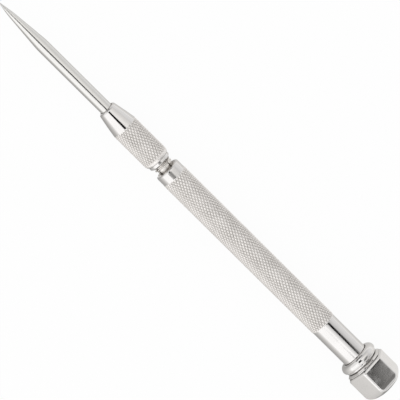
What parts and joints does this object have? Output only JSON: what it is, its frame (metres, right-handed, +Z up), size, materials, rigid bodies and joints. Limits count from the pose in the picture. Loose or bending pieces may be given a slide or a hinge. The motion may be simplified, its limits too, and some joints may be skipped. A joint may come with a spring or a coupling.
{
  "type": "engraving pen",
  "caption": "Pocket engraving pen: steel scribing point held in a knurled collet chuck on a slim knurled barrel, with a crowned hexagonal head that stops it rolling.",
  "frame": {"origin": "under the middle of the pen, on the surface that a flat of the head lies on", "axes": "+X along the pen from the head to the tip, +Z up from the flat of the head that the pen lies on, +Y to the side"},
  "size_m": [0.162, 0.0136, 0.012],
  "materials": {
    "polished_plate": "bright nickel-chrome plate, polished",
    "knurled_plate": "bright nickel-chrome plate over a fine diamond knurl",
    "turned_steel": "plated, as turned and threaded",
    "hardened_steel": "ground and polished hardened steel"
  },
  "bodies": {
    "handle": {"hex_head": "polished_plate", "collar_ring": "polished_plate", "barrel": "knurled_plate", "split_collet": "turned_steel"},
    "chuck_slider": {"chuck_ring": "polished_plate"},
    "chuck": {"chuck_nut": "knurled_plate"},
    "point": {"scriber_point": "hardened_steel"}
  },
  "joints": [
    {"name": "chuck_advance", "type": "slide", "parent": "handle", "child": "chuck_slider", "axis": [1, 0, 0], "range_m": [0, 0.004]},
    {"name": "chuck_turn", "type": "hinge", "parent": "chuck_slider", "child": "chuck", "pos_m": [0.015, 0, 0.006], "axis": [1, 0, 0], "range_deg": [0, 1440]},
    {"name": "point_slide", "type": "slide", "parent": "handle", "child": "point", "axis": [1, 0, 0], "range_m": [-0.046, 0.012]}
  ],
  "couplings": [
    {"joint": "chuck_turn", "follows": "chuck_advance", "rad_per_m": 6283.2}
  ]
}
